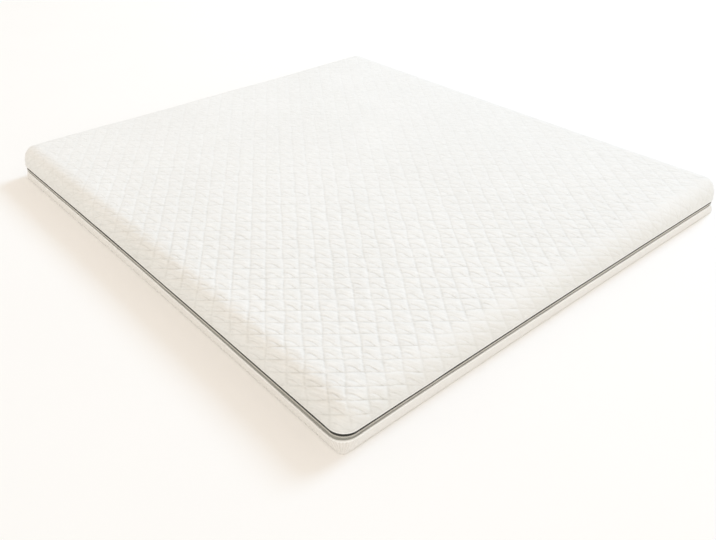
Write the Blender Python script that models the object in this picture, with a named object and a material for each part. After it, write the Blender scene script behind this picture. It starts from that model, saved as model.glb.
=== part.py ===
"""Mattress topper with a zipped cover, 1.80 m by 2.00 m, lying flat.

The topper stands on Z = 0, centred on the origin: its width runs along X and its length along Y.
Six pieces, from the floor up: base_panel, side_band, zip_tape_lower, zip_coil, zip_tape_upper and top_cover.
Every level of every piece is one outline: a rounded rectangle, drawn in a little halfway along each side.
A level is placed by its inset from the widest outline and by its height above the floor. Levels at the zip's
recess also bend up or down where that recess gapes.
"""

import math

import bmesh
import bpy
from mathutils import Vector

# Driving dimensions, in metres.
WIDTH = 1.800
LENGTH = 2.000
HEIGHT = 0.1425  # of the flat top's edge above the floor
CORNER_RADIUS = 0.048  # of the cover and the zip, seen from above
TIGHTEST_RADIUS = 0.012  # of the corners where the flat top begins
DRAW_IN = 0.0038  # how far each side is pulled in at its middle
CROWN = 0.003  # how far the middle of the top stands above its edge
GAP = 0.0003  # between neighbouring pieces

# The rounded upper edge of the cover is a quarter of an ellipse.
SHOULDER_HEIGHT = 0.070
SHOULDER_DEPTH = 0.060
SHOULDER_STEPS = 9

# Heights of the pieces above the floor.
PANEL_THICKNESS = 0.0025
NECK_BOTTOM = 0.0290  # of the filling that the side band holds
BAND_TOP = 0.0370
TAPE_LOWER_TOP = 0.0425
COIL_TOP = 0.0491
TAPE_UPPER_TOP = 0.0545

# The zip lies in a recess between the hem of the cover and the side band.
NECK_INSET = 0.0053  # of the filling behind the zip
TAPE_THICKNESS = 0.0012
COIL_THICKNESS = 0.0030
COIL_SIDES = 8
HEM_EDGE = ((0.0022, 0.0), (0.0006, 0.002), (0.0, 0.006))  # inset, height above the hem's lower edge

# The recess gapes along the -X side, most of all by its corner with the -Y side.
GAPE_PLACE = 0.10  # from that corner, along the -X side
GAPE_LENGTH = 0.85  # over which the gape fades towards +Y
GAPE_FADE = 0.10  # over which it fades the other way, and round the corner along the -Y side
BAND_DROP = 0.0056  # of the side band's upper edge, where the recess gapes most
HEM_LIFT = 0.0020  # of the hem, at the same place

# The side band is stitched to a base panel with tighter corners, so its upper edge is gathered round them.
BAND_CORNER_RADIUS = 0.0187  # at the floor
BAND_EDGES = (  # inset, share of the band's height, share of the gathers
    (0.0016, 0.0, 0.0),
    (0.0004, 0.058, 0.1),
    (0.0, 0.26, 0.3),
    (0.0, 0.63, 0.8),
    (0.0006, 0.93, 1.0),
    (0.0022, 1.0, 0.7),
)
PANEL_INSET = 0.0024
GATHERS = (  # place along the corner's arc, half width in the same shares, depth in metres
    (0.10, 0.035, 0.0011),
    (0.25, 0.045, 0.0018),
    (0.42, 0.040, 0.0015),
    (0.56, 0.045, 0.0020),
    (0.73, 0.040, 0.0014),
    (0.89, 0.035, 0.0014),
)
CORNER_PULL = (0.7, 0.9, 1.0, 0.8)  # how strongly each corner is gathered

# Steps of the outline: round a corner, and along a side.
CORNER_STEPS = 8
GATHERED_CORNER_STEPS = 26
SIDE_STEPS = 6

# The quilting: two families of straight lines make squares set on the topper's diagonals.
ACROSS_DIRECTION = math.radians(-36.5)  # the way in which the squares are counted, from +X
ACROSS_PITCH = 0.04885
ACROSS_SHIFT = 0.73  # place of the first line, in squares
ALONG_DIRECTION = math.radians(49.0)
ALONG_PITCH = 0.06165  # at the middle of the topper
ALONG_STRETCH = 0.176  # share by which that pitch grows in each metre, because the knit is stretched
ALONG_SHIFT = 0.097
QUILT_PUFF = 0.0014  # how far the middle of a square stands above its seams
LEAST_CUT = 0.0004  # a seam nearer than this to a point of the outline goes through that point

WHITE_KNIT = ("white_knit", (0.86, 0.85, 0.81), 0.90)
WHITE_CLOTH = ("white_cloth", (0.84, 0.83, 0.79), 0.88)
DARK_TAPE = ("dark_grey_tape", (0.10, 0.095, 0.085), 0.85)
GREY_TAPE = ("grey_tape", (0.27, 0.27, 0.24), 0.85)
GREY_NYLON = ("grey_nylon", (0.36, 0.36, 0.33), 0.55)


def clear_scene():
    """Removes every object of the open file."""
    for thing in list(bpy.data.objects):
        bpy.data.objects.remove(thing, do_unlink=True)


def finish_of(name, colour, roughness):
    """A matte material of one colour."""
    material = bpy.data.materials.new(name)
    material.use_nodes = True
    shader = material.node_tree.nodes["Principled BSDF"]
    shader.inputs["Base Color"].default_value = (*colour, 1.0)
    shader.inputs["Roughness"].default_value = roughness
    shader.inputs["Metallic"].default_value = 0.0
    return material


def gather_depth(share, corner):
    """Depth of the gathers at a share of a corner's arc: soft troughs, uneven from corner to corner."""
    depth = 0.0
    for place, half_width, deep in GATHERS:
        depth += deep * math.exp(-(((share - place) / half_width) ** 2))
    return depth * CORNER_PULL[corner]


def outline(inset, radius, corner_steps=CORNER_STEPS, gathered=0.0):
    """Points of one level, counter-clockwise from the +X end of the corner at (+X, +Y).

    A quarter circle at each corner, and a straight side after it that is drawn in by half a sine wave.
    gathered is the share of the corner gathers that this level has.
    """
    half_width = WIDTH / 2 - inset
    half_length = LENGTH / 2 - inset
    centres = [
        Vector((across * (half_width - radius), along * (half_length - radius)))
        for across, along in ((1, 1), (-1, 1), (-1, -1), (1, -1))
    ]
    points = []
    for corner, centre in enumerate(centres):
        for step in range(corner_steps + 1):
            share = step / corner_steps
            angle = (corner + share) * math.pi / 2
            reach = radius - gathered * gather_depth(share, corner)
            points.append(centre + reach * Vector((math.cos(angle), math.sin(angle))))
        outward = Vector((math.cos(angle), math.sin(angle)))
        start = centre + radius * outward
        end = centres[(corner + 1) % 4] + radius * outward
        for step in range(1, SIDE_STEPS):
            share = step / SIDE_STEPS
            points.append(start.lerp(end, share) - outward * DRAW_IN * math.sin(math.pi * share))
    return points


def gape(point):
    """How far the zip's recess gapes at a point, from 0 to 1: a bell curve that is long towards +Y only."""
    along = point.y + LENGTH / 2 - GAPE_PLACE
    across = point.x + WIDTH / 2
    reach = GAPE_LENGTH if along > 0 else GAPE_FADE
    return math.exp(-((along / reach) ** 2) - (across / GAPE_FADE) ** 2)


def ring(mesh, level):
    """The vertices of one level, given as (height, outline, rise where the recess gapes most)."""
    height, points, rise = level
    return [mesh.verts.new((point.x, point.y, height + rise * gape(point))) for point in points]


def join_rings(mesh, lower, upper):
    """A band of quads between two levels with the same number of points."""
    count = len(lower)
    for index in range(count):
        after = (index + 1) % count
        mesh.faces.new((lower[index], lower[after], upper[after], upper[index]))


def cover_radius(inset):
    """Corner radius of a level that keeps an even distance from the widest outline."""
    return max(CORNER_RADIUS - inset, TIGHTEST_RADIUS)


def filled(levels):
    """A closed solid through levels from the floor up, and the face that closes its top."""
    mesh = bmesh.new()
    rings = [ring(mesh, level) for level in levels]
    for lower, upper in zip(rings, rings[1:]):
        join_rings(mesh, lower, upper)
    mesh.faces.new(reversed(rings[0]))
    top = mesh.faces.new(rings[-1])
    return mesh, top


def belt(levels):
    """A closed strip that runs round the topper, its cross-section given as levels."""
    mesh = bmesh.new()
    rings = [ring(mesh, level) for level in levels]
    for lower, upper in zip(rings, rings[1:] + rings[:1]):
        join_rings(mesh, lower, upper)
    return mesh


def add_piece(name, mesh, finish):
    """One object from a bmesh, with its normals facing out and its own material."""
    bmesh.ops.recalc_face_normals(mesh, faces=mesh.faces)
    data = bpy.data.meshes.new(name)
    mesh.to_mesh(data)
    mesh.free()
    data.shade_smooth()
    data.set_sharp_from_angle(angle=math.radians(50))
    data.materials.append(finish_of(*finish))
    piece = bpy.data.objects.new(name, data)
    bpy.context.scene.collection.objects.link(piece)
    return piece


def across_line(index):
    """Distance from the origin, along ACROSS_DIRECTION, of a quilting line of the first family."""
    return (index + ACROSS_SHIFT) * ACROSS_PITCH


def along_line(index):
    """Distance from the origin, along ALONG_DIRECTION, of a line of the second family.

    The pitch grows evenly with the distance, so the distance grows as an exponential of the count.
    """
    count = ALONG_STRETCH * ALONG_PITCH * (index + ALONG_SHIFT)
    return (math.exp(count) - 1) / ALONG_STRETCH


def quilting_lines():
    """Every quilting line that can cross the top, as its direction of count and its distance."""
    reach = math.hypot(WIDTH, LENGTH) / 2
    most = math.ceil(reach / ACROSS_PITCH)
    for direction, distance_of in ((ACROSS_DIRECTION, across_line), (ALONG_DIRECTION, along_line)):
        normal = Vector((math.cos(direction), math.sin(direction), 0.0))
        for index in range(-most, most + 1):
            distance = distance_of(index)
            if abs(distance) < reach:
                yield normal, distance


def crown_height(point):
    """Rise of the top above its edge: a parabola across the width times one along the length."""
    across = point.x / (WIDTH / 2 - SHOULDER_DEPTH)
    along = point.y / (LENGTH / 2 - SHOULDER_DEPTH)
    return CROWN * (1 - across**2) * (1 - along**2)


def quilt(mesh, top):
    """Cuts the top face into its quilted squares and raises the middle of each one.

    The seams are the cuts. A square's middle stands QUILT_PUFF above them, and a square that the edge
    of the top cuts off stands less, by the square root of its share of a whole square.
    """
    panel = [top, *top.edges, *top.verts]
    for normal, distance in quilting_lines():
        cut = bmesh.ops.bisect_plane(
            mesh, geom=panel, dist=LEAST_CUT, plane_co=normal * distance, plane_no=normal
        )
        panel = cut["geom"]
    squares = [part for part in panel if isinstance(part, bmesh.types.BMFace)]
    inside = set(squares)
    corners = {corner for square in squares for corner in square.verts}
    seams = [corner for corner in corners if all(face in inside for face in corner.link_faces)]
    whole = ACROSS_PITCH * ALONG_PITCH
    puffs = [QUILT_PUFF * math.sqrt(min(1.0, square.calc_area() / whole)) for square in squares]
    middles = bmesh.ops.poke(mesh, faces=squares)["verts"]
    for middle, puff in zip(middles, puffs):
        middle.co.z += puff + crown_height(middle.co)
    for corner in seams:
        corner.co.z += crown_height(corner.co)


def cover_level(inset, height, rise=0.0):
    """A level of the top cover or of the zip, as (height, outline, rise where the recess gapes most)."""
    return height, outline(inset, cover_radius(inset)), rise


def make_top_cover():
    """The filled upper half: a neck behind the zip, a rolled hem, the rounded edge and the quilted top."""
    hem = TAPE_UPPER_TOP + GAP
    levels = [cover_level(NECK_INSET, NECK_BOTTOM + GAP), cover_level(NECK_INSET, hem, HEM_LIFT)]
    levels += [cover_level(inset, hem + height, HEM_LIFT) for inset, height in HEM_EDGE]
    for step in range(SHOULDER_STEPS + 1):
        angle = math.pi / 2 * step / SHOULDER_STEPS
        inset = SHOULDER_DEPTH * (1 - math.cos(angle))
        height = HEIGHT - SHOULDER_HEIGHT * (1 - math.sin(angle))
        levels.append(cover_level(inset, height))
    mesh, top = filled(levels)
    quilt(mesh, top)
    return add_piece("top_cover", mesh, WHITE_KNIT)


def make_tape(name, lower_edge, upper_edge, finish):
    """A zip tape: a flat strip round the neck of the cover, between two edges given as (height, rise)."""
    inner = NECK_INSET - GAP
    outer = inner - TAPE_THICKNESS
    levels = [cover_level(inner, *lower_edge), cover_level(outer, *lower_edge)]
    levels += [cover_level(outer, *upper_edge), cover_level(inner, *upper_edge)]
    return add_piece(name, belt(levels), finish)


def make_coil():
    """The closed zip chain: a belt with an oval cross-section between the two tapes."""
    low = TAPE_LOWER_TOP + GAP
    middle = (low + COIL_TOP) / 2
    half_height = (COIL_TOP - low) / 2
    half_thickness = COIL_THICKNESS / 2
    levels = []
    for side in range(COIL_SIDES):
        angle = 2 * math.pi * (side + 0.5) / COIL_SIDES
        inset = NECK_INSET - GAP - half_thickness * (1 + math.cos(angle) / math.cos(math.pi / COIL_SIDES))
        height = middle + half_height * math.sin(angle) / math.cos(math.pi / COIL_SIDES)
        levels.append(cover_level(inset, height))
    return add_piece("zip_coil", belt(levels), GREY_NYLON)


def make_side_band():
    """The plain band: tight corners at the floor, wide ones under the zip, and a lip round the filling."""
    bottom = PANEL_THICKNESS + GAP
    levels = []
    for inset, share, gathered in BAND_EDGES:
        height = bottom + share * (BAND_TOP - bottom)
        radius = BAND_CORNER_RADIUS + share * (CORNER_RADIUS - BAND_CORNER_RADIUS)
        points = outline(inset, radius, GATHERED_CORNER_STEPS, gathered)
        levels.append((height, points, -share * BAND_DROP))
    lip_inset = NECK_INSET - GAP
    lip = outline(lip_inset, cover_radius(lip_inset), GATHERED_CORNER_STEPS)
    levels += [(BAND_TOP, lip, -BAND_DROP), (NECK_BOTTOM, lip, 0.0)]
    mesh, _ = filled(levels)
    return add_piece("side_band", mesh, WHITE_CLOTH)


def make_base_panel():
    """The flat panel that lies on the floor, its edge set in under the side band."""
    points = outline(PANEL_INSET, BAND_CORNER_RADIUS - PANEL_INSET)
    mesh, _ = filled([(0.0, points, 0.0), (PANEL_THICKNESS, points, 0.0)])
    return add_piece("base_panel", mesh, WHITE_CLOTH)


def main():
    """Builds the topper from the floor up."""
    clear_scene()
    make_base_panel()
    make_side_band()
    make_tape("zip_tape_lower", (BAND_TOP + GAP, -BAND_DROP), (TAPE_LOWER_TOP, 0.0), GREY_TAPE)
    make_coil()
    make_tape("zip_tape_upper", (COIL_TOP + GAP, 0.0), (TAPE_UPPER_TOP, HEM_LIFT), DARK_TAPE)
    make_top_cover()


main()
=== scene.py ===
"""Mattress topper, dressed: a quilted knit top that zips all round to a plain side band, on a pale floor.

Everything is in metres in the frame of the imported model: +Z up, the surface under the topper at Z = 0, its
width along X and its length along Y. Every surface is an array of points worked out with numpy and put into
a mesh whole. The cloth is stiffened by the block that it covers, so its shape is computed, not simulated.
"""

from __future__ import annotations

import logging
import math
from dataclasses import dataclass, field
from enum import Enum

import bpy
import numpy as np
from bpy.types import ID, Material, Node, NodeSocket, Object
from mathutils import Matrix, Vector


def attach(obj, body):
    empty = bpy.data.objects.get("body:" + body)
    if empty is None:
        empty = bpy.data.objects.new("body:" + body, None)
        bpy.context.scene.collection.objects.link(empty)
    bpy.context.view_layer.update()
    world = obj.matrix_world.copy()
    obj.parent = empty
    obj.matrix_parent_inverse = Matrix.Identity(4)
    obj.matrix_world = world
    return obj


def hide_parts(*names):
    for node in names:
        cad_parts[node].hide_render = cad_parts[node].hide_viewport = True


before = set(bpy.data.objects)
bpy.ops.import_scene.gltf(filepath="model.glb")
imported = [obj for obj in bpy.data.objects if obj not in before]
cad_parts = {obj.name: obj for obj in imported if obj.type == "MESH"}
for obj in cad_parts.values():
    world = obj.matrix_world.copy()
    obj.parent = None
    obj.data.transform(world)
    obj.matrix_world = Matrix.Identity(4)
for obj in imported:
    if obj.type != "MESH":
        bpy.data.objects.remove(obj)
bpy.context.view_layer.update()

BODY = "root"
GAP = 0.0003  # between neighbouring pieces
MILLIMETRE = 0.001
QUARTER = math.pi / 2
EYE = (-1.6582, -1.9379, 1.3341)  # where the camera stands
NO_TRIANGLES = np.zeros((0, 3), int)
Array = np.ndarray
Numbers = Array | float
Table = tuple[tuple[float, ...], ...]

log = logging.getLogger("topper")


def smooth_step(low: float, high: float, value: Array) -> Array:
    """Rise from 0 at low to 1 at high: 3 t squared less 2 t cubed, t being the share of the way."""
    share = np.clip((value - low) / (high - low), 0.0, 1.0)
    return share * share * (3.0 - 2.0 * share)


def bell(offset: Array) -> Array:
    """Bell curve: e to the minus of the squared offset."""
    return np.exp(-(offset**2))


def starts_of(lengths: Array) -> Array:
    """Where each of several lengths starts when they are laid end to end from 0."""
    return np.concatenate([[0.0], np.cumsum(lengths)[:-1]])


# Shapes --------------------


@dataclass(frozen=True)
class Plan:
    """The topper's outline from above: a rounded rectangle, drawn in a little halfway along each side.

    A place on it is a distance along the widest outline, counter-clockwise from the +X end of the corner at
    (+X, +Y). The outline has eight runs, a corner and then the side after it, four times.
    """

    width: float = 1.800
    length: float = 2.000
    corner: float = 0.048
    tightest: float = 0.012  # corner radius of any level
    draw_in: float = 0.0038

    @property
    def half(self) -> Array:
        """Half the width and half the length."""
        return np.array([self.width, self.length]) / 2

    @property
    def runs(self) -> Array:
        """Lengths of the eight runs of the widest outline."""
        arc = QUARTER * self.corner
        return np.array([arc, self.width - 2 * self.corner, arc, self.length - 2 * self.corner] * 2)

    @property
    def perimeter(self) -> float:
        """Length of the widest outline."""
        return float(self.runs.sum())

    def places(self, step: float) -> Array:
        """Evenly spaced places round the outline, about step apart."""
        count = round(self.perimeter / step)
        return np.arange(count) * self.perimeter / count

    def closer_places(self, step: float, corner_step: float) -> Array:
        """Places round the outline in order, closer together at the corners.

        Args:
            step: Distance on the sides.
            corner_step: Distance on the corners and for a third of a corner's length past them.

        Returns:
            Distances along the outline, from a third of a corner's length before it starts.
        """
        beyond = self.runs[0] / 3
        lengths = self.runs + np.tile([2 * beyond, -2 * beyond], 4)
        counts = np.round(lengths / np.tile([corner_step, step], 4)).astype(int)
        number = np.arange(counts.sum()) - np.repeat(np.cumsum(counts) - counts, counts)
        return np.repeat(starts_of(lengths) - beyond, counts) + number * np.repeat(lengths / counts, counts)

    def within(self, distance: Array, back: float = 0.5) -> Array:
        """Distances less whole turns round the outline: none is lower than minus back times a turn."""
        return np.mod(distance + self.perimeter * back, self.perimeter) - self.perimeter * back

    def at(
        self, place: Array, inset: Numbers, radius: Numbers | None = None, draw_in: float | None = None
    ) -> tuple[Array, Array]:
        """Points of one level: corner centre plus radius times outward direction, and straight runs between.

        Along a run the share of the way is the same on every level. A side is moved inwards by draw_in times
        the sine of pi times that share.

        Args:
            place: Distances along the widest outline.
            inset: Distance of the level inside the widest outline, one for all or one for each place.
            radius: Its corner radius, or None for the one that keeps levels evenly apart.
            draw_in: How far a side is drawn in at its middle, or None for the plan's own.

        Returns:
            The points and the outward directions, each an array of rows (x, y).
        """
        if radius is None:
            radius = np.maximum(self.corner - np.asarray(inset, float), self.tightest)
        lengths, starts = self.runs, starts_of(self.runs)
        place = np.mod(place, self.perimeter)
        run = np.searchsorted(starts, place, side="right") - 1
        share = (place - starts[run]) / lengths[run]
        corner, on_side = run // 2, run % 2 == 1
        angle = (corner + np.where(on_side, 1.0, share)) * math.pi / 2
        outward = np.stack([np.cos(angle), np.sin(angle)], axis=1)
        signs = np.array([(1, 1), (-1, 1), (-1, -1), (1, -1)], float)
        inset, radius = (np.broadcast_to(part, place.shape)[:, None] for part in (inset, radius))
        core = self.half - inset - radius
        start, end = signs[corner] * core, signs[(corner + 1) % 4] * core
        slide = np.where(on_side, share, 0.0)[:, None]
        pulled = (self.draw_in if draw_in is None else draw_in) * np.sin(math.pi * slide)
        return start + (end - start) * slide + (radius - pulled) * outward, outward

    def corner_share(self, place: Array) -> tuple[Array, Array]:
        """How far round the nearest corner places are.

        Args:
            place: Distances along the outline.

        Returns:
            Shares of the way round, far outside 0 to 1 on a side, and the corners' numbers.
        """
        past = self.within(place[:, None] - starts_of(self.runs)[::2], back=1 / 8)
        nearest = np.abs(past - self.runs[0] / 2).argmin(axis=1)
        return past[np.arange(len(place)), nearest] / self.runs[0], nearest


PLAN = Plan()


@dataclass(frozen=True)
class Gape:
    """How far the zip's recess gapes: a bell curve along the -X side, wide towards +Y, else narrow."""

    start: float = 0.10
    long: float = 0.85
    short: float = 0.10

    def beside(self, points: Array) -> Array:
        """How near points are to the -X side, from 0 to 1."""
        return bell((points[:, 0] + PLAN.width / 2) / self.short)

    def at(self, points: Array) -> Array:
        """The gape at points, from 0 to 1."""
        along = points[:, 1] + PLAN.length / 2 - self.start
        return bell(along / np.where(along > 0, self.long, self.short)) * self.beside(points)


@dataclass(frozen=True)
class Waviness:
    """Slow unevenness of a sewn edge or a filled wall: sine waves round the outline with mixed phases."""

    size: float  # root mean square
    seed: int
    fewest: int = 6
    most: int = 60

    def at(self, place: Array) -> Array:
        """Sum of whole waves round the outline, each weaker as it gets shorter.

        Args:
            place: Distances along the outline.

        Returns:
            One offset for each place.
        """
        chance = np.random.default_rng(self.seed)
        counts = np.arange(self.fewest, self.most)
        strengths = chance.normal(size=len(counts)) / np.sqrt(counts)
        strengths *= self.size / math.sqrt((strengths**2).sum() / 2)
        phases = chance.uniform(0, 2 * math.pi, len(counts))
        angle = 2 * math.pi * place / PLAN.perimeter
        return np.sin(angle[:, None] * counts + phases) @ strengths


GAPE = Gape()
HEM_WAVES = Waviness(0.00035, seed=3)
BAND_WAVES = Waviness(0.00045, seed=8)


@dataclass(frozen=True)
class Levels:
    """Heights that the pieces share, and how far the recess's edges move where it gapes."""

    panel_top: float = 0.0025
    neck_bottom: float = 0.0290
    band_top: float = 0.0370
    chain_middle: float = 0.0459  # where the two rows of teeth meet
    hem: float = 0.05685
    top: float = 0.1425
    band_drop: float = 0.0056
    hem_lift: float = 0.0026
    side_lift: float = 0.0029
    neck_inset: float = 0.0053

    def hem_rise(self, points: Array) -> Array:
        """How far the hem is lifted: where the recess gapes, and along the rest of the -X side."""
        along_side = GAPE.beside(points) * smooth_step(-0.8, 0.2, points[:, 1])
        return self.hem_lift * GAPE.at(points) + self.side_lift * along_side

    def hem_at(self, points: Array, place: Array) -> Array:
        """Height of the hem's lower edge, which is lifted and a little wavy."""
        return self.hem + self.hem_rise(points) + HEM_WAVES.at(place)

    def band_shift(self, points: Array, place: Array) -> Array:
        """How far the band's upper edge is off its level: let down where the recess gapes, and wavy."""
        return BAND_WAVES.at(place) - self.band_drop * GAPE.at(points)

    def band_at(self, points: Array, place: Array) -> Array:
        """Height of the band's upper edge."""
        return self.band_top + self.band_shift(points, place)


LEVELS = Levels()


# Meshes --------------------


def ring_quads(rings: Array) -> Array:
    """Quads between each closed ring of vertex numbers and the next, facing out if counter-clockwise."""
    ahead = np.roll(rings, -1, axis=1)
    return np.stack([rings[:-1], ahead[:-1], ahead[1:], rings[1:]], axis=-1).reshape(-1, 4)


def grid_quads(rows: int, columns: int) -> Array:
    """Quads of a grid whose points are numbered row by row."""
    at = np.arange(rows * columns).reshape(rows, columns)
    return np.stack([at[:-1, :-1], at[:-1, 1:], at[1:, 1:], at[1:, :-1]], axis=-1).reshape(-1, 4)


def fan(middle: int, ring: Array) -> Array:
    """Triangles from a middle vertex to the edges of a ring, facing up if the ring is counter-clockwise."""
    return np.stack([np.full(len(ring), middle), ring, np.roll(ring, -1)], axis=1)


def loop_order(starts: Array, ends: Array) -> Array:
    """Point numbers once round a closed loop of edges, by doubling jumps along them.

    Args:
        starts: Point where each edge starts. Every point of the loop is there once.
        ends: Point where it ends.

    Returns:
        The numbers in the direction of the edges.
    """
    numbers, start = np.unique(starts, return_inverse=True)
    after = np.zeros(len(numbers), int)
    after[start] = np.searchsorted(numbers, ends)
    last = int(np.flatnonzero(after == 0)[0])
    after[last] = last
    left = np.ones(len(numbers), int)
    left[last] = 0
    for _ in range(int(math.log2(len(numbers))) + 2):
        left = left + left[after]
        after = after[after]
    return numbers[np.argsort(-left)]


def trim(quads: Array, inside: Array) -> tuple[Array, Array, Array]:
    """Cuts a grid along the line between its inside and its outside.

    A quad that the line crosses is split into triangles. Each keeps its inside corners, and takes a new
    point on each of its edges that the line crosses. New points are numbered on after the grid's own.

    Args:
        quads: Rows of four point numbers.
        inside: For each point, whether it stays.

    Returns:
        The quads and the triangles that are left, and the edges with a new point, rows of inside and outside
        corner in the order of the cut line.
    """
    kept = inside[quads].sum(axis=1)
    split = quads[(kept > 0) & (kept < 4)]
    split = np.concatenate([split[:, [0, 1, 2]], split[:, [0, 2, 3]]])
    kept_corners = inside[split].sum(axis=1)

    def turned(rows: Array, first: Array) -> Array:
        """Rows of three turned so that the marked corner comes first."""
        return np.take_along_axis(rows, (first.argmax(axis=1)[:, None] + np.arange(3)) % 3, axis=1)

    lone, pair = split[kept_corners == 1], split[kept_corners == 2]
    lone, pair = turned(lone, inside[lone]), turned(pair, ~inside[pair])
    edges = np.concatenate([lone[:, [0, 1]], lone[:, [0, 2]], pair[:, [1, 0]], pair[:, [2, 0]]])
    crossed, number = np.unique(edges, axis=0, return_inverse=True)
    groups = np.split(number.reshape(-1), np.cumsum([len(lone), len(lone), len(pair)]))
    order = loop_order(np.concatenate([groups[0], groups[3]]), np.concatenate([groups[1], groups[2]]))
    place = np.zeros(len(crossed), int)
    place[order] = len(inside) + np.arange(len(order))
    first, second, third, fourth = (place[group] for group in groups)
    cut_quads = np.column_stack([third, pair[:, 1], pair[:, 2], fourth])
    cut_triangles = np.column_stack([lone[:, 0], first, second])
    triangles = np.concatenate([split[kept_corners == 3], cut_triangles])
    return np.concatenate([quads[kept == 4], cut_quads]), triangles, crossed[order]


def linked(name: str, data: ID) -> Object:
    """A new object with those data, linked to the scene."""
    thing = bpy.data.objects.new(name, data)
    bpy.context.scene.collection.objects.link(thing)
    return thing


def mesh_object(
    name: str, points: Array, quads: Array, triangles: Array = NO_TRIANGLES, **marks: Array
) -> Object:
    """Puts whole arrays into a new mesh, shaded smooth, in an object at the origin.

    Args:
        name: Name of the object and of its mesh.
        points: Rows of (x, y, z).
        quads: Rows of four vertex numbers.
        triangles: Rows of three vertex numbers.
        **marks: Rows of three numbers for each point, for materials to read by name.

    Returns:
        The object, linked to the scene.
    """
    mesh = bpy.data.meshes.new(name)
    mesh.vertices.add(len(points))
    mesh.vertices.foreach_set("co", points.astype(np.float32).ravel())
    corners = np.concatenate([quads.ravel(), triangles.ravel()]).astype(np.int32)
    starts = np.concatenate([np.arange(len(quads)) * 4, quads.size + np.arange(len(triangles)) * 3])
    mesh.loops.add(len(corners))
    mesh.loops.foreach_set("vertex_index", corners)
    mesh.polygons.add(len(starts))
    mesh.polygons.foreach_set("loop_start", starts.astype(np.int32))
    for label, values in marks.items():
        layer = mesh.attributes.new(label, "FLOAT_VECTOR", "POINT")
        layer.data.foreach_set("vector", values.astype(np.float32).ravel())
    mesh.update(calc_edges=True)
    mesh.validate()
    mesh.shade_smooth()
    return linked(name, mesh)


@dataclass
class Stack:
    """Rings of points round the topper, joined one to the next, bottom to top on the outside."""

    places: Array
    rings: list[Array] = field(default_factory=list)
    marks: list[Array] = field(default_factory=list)

    def add(self, flat: Array, height: Numbers, travel: float, painted_light: Numbers = 0.0) -> None:
        """Adds a ring.

        Args:
            flat: Rows of (x, y).
            height: One height, or one for each point.
            travel: Distance along the section, for the weave.
            painted_light: Painted light there: a painted highlight, up to 1, on a rolled edge where the
                cloth lies on itself, or painted shade, down to -1, in a gather's hollow.
        """
        height, travelled, painted_light = (np.broadcast_to(part, len(flat)) for part in (height, travel, painted_light))
        self.rings.append(np.column_stack([flat, height]))
        self.marks.append(np.column_stack([self.places, travelled, painted_light]))

    def build(self, name: str, looped: bool) -> Object:
        """Joins the rings, and closes them either into a hoop or with a flat fan at the bottom and the top.

        Args:
            name: Name of the object.
            looped: True to join the last ring to the first one.

        Returns:
            The object, with the attribute "weave": place, distance along the section, painted highlight or
            shade.
        """
        rows = np.arange(len(self.rings) * len(self.places)).reshape(len(self.rings), -1)
        points, weave = np.concatenate(self.rings), np.concatenate(self.marks)
        if looped:
            return mesh_object(name, points, ring_quads(np.concatenate([rows, rows[:1]])), weave=weave)
        triangles = np.concatenate([fan(len(points), rows[0, ::-1]), fan(len(points) + 1, rows[-1])])
        points = np.concatenate([points, [self.rings[0].mean(axis=0), self.rings[-1].mean(axis=0)]])
        weave = np.concatenate([weave, np.zeros((2, 3))])
        return mesh_object(name, points, ring_quads(rows), triangles, weave=weave)


@dataclass(frozen=True)
class Bar:
    """A small closed bar with a diamond for its section, copied round the outline."""

    length: float
    upright: bool  # or else lengthways along the outline
    widths: Table  # share of the length from the middle, both half widths

    def shape(self) -> tuple[Array, Array]:
        """One bar: a diamond at each share of the length, and a quad at each end.

        Returns:
            The points, rows of (along, outward, up), and the quads.
        """
        table = np.array(self.widths)
        diamond = np.array([(1, 0), (0, 1), (-1, 0), (0, -1)], float)
        sides = diamond[None, :, :] * table[:, None, 1:]
        lengthways = np.repeat((table[:, 0] * self.length)[:, None, None], 4, axis=1)
        points = np.concatenate([sides, lengthways] if self.upright else [lengthways, sides], axis=2)
        rows = np.arange(4 * len(table)).reshape(-1, 4)
        return points.reshape(-1, 3), np.concatenate([ring_quads(rows), rows[:1, ::-1], rows[-1:]])

    def spread(self, name: str, rows: list[tuple[Array, Array, Numbers, float]]) -> Object:
        """Joins copies in one mesh: origin plus the bar's own coordinates times its three directions.

        Args:
            name: Name of the object.
            rows: For each row its (x, y), its outward directions, its heights, and 1 for up or -1 for down.

        Returns:
            The object.
        """
        shape, faces = self.shape()
        origins, frames = [], []
        for flat, outward, height, up in rows:
            level = np.zeros(len(flat))
            out = np.column_stack([outward, level])
            along = np.column_stack([-outward[:, 1], outward[:, 0], level]) * up
            origins.append(np.column_stack([flat, level + height]))
            frames.append(np.stack([along, out, np.broadcast_to([0.0, 0.0, up], out.shape)], axis=1))
        copies = np.einsum("vk,nkx->nvx", shape, np.concatenate(frames))
        points = np.concatenate(origins)[:, None, :] + copies
        quads = faces[None, :, :] + (np.arange(len(points)) * len(shape))[:, None, None]
        return mesh_object(name, points.reshape(-1, 3), quads.reshape(-1, 4))


# Finishes --------------------

Colour = tuple[float, float, float]
Inputs = dict[int | str, object]  # signals, numbers or colours by the name or number of a node's input
CLOTH_LIGHT = {"Roughness": 0.92, "Sheen Weight": 0.12, "Sheen Roughness": 0.45, "Specular IOR Level": 0.25}
MIX_FACTOR, MIX_FIRST, MIX_SECOND, MIX_RESULT = 0, 6, 7, 2  # sockets of a Mix node that mixes colours


class Weave(Enum):
    """How a cloth is made, which sets the pattern of its finest relief."""

    KNIT = "knit"
    PLAIN = "plain"
    HERRINGBONE = "herringbone"


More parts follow.
